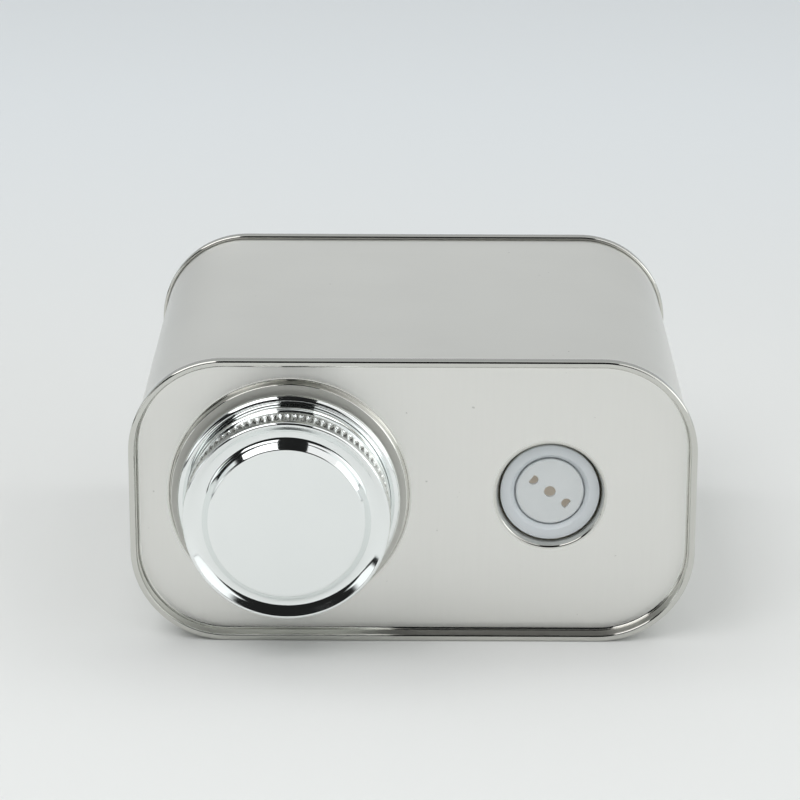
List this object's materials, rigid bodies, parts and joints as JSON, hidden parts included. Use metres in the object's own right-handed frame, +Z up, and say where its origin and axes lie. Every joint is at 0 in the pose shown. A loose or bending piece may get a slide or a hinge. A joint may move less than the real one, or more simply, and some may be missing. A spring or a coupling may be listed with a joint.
{
  "type": "coffee storage tin",
  "caption": "Rounded rectangular tinplate coffee tin lying on its side, with double-seamed ends, a knurled screw cap and a one-way degassing valve.",
  "frame": {"origin": "on the table under the middle of the tin, half way along its whole length with the cap", "axes": "+Z up with the tin lying on a broad side, +X to the right across the width, -Y out of the end that carries the cap and the valve"},
  "size_m": [0.115, 0.1142, 0.06],
  "materials": {
    "tinplate": "satin lacquered tinplate",
    "bright_tinplate": "bright polished tinplate",
    "valve_plastic": "semi-matt moulded polyethylene",
    "rubber": "soft beige rubber",
    "liner_foam": "expanded polyethylene",
    "filter_paper": "unbleached filter paper",
    "compound": "can sealing compound"
  },
  "bodies": {
    "tin": {"body_wall": "tinplate", "top_end": "tinplate", "bottom_end": "tinplate", "top_seam_compound": "compound", "bottom_seam_compound": "compound", "screw_neck": "bright_tinplate", "neck_seal": "compound", "valve_body": "valve_plastic", "valve_cap": "valve_plastic", "valve_filter": "filter_paper", "valve_seal_ring": "rubber"},
    "liner": {"cap_liner": "liner_foam"},
    "cap": {"cap_shell": "bright_tinplate"},
    "membrane": {"valve_membrane": "rubber"}
  },
  "joints": [
    {"name": "cap_lift", "type": "slide", "parent": "tin", "child": "liner", "axis": [0, -1, 0], "range_m": [0, 0.045]},
    {"name": "cap_turn", "type": "hinge", "parent": "liner", "child": "cap", "pos_m": [-0.0251, -0.05, 0.03065], "axis": [0, -1, 0], "range_deg": [0, 450]},
    {"name": "membrane_lift", "type": "slide", "parent": "tin", "child": "membrane", "axis": [0, -1, 0], "range_m": [0, 0.00035], "stiffness_N_per_m": 20}
  ]
}
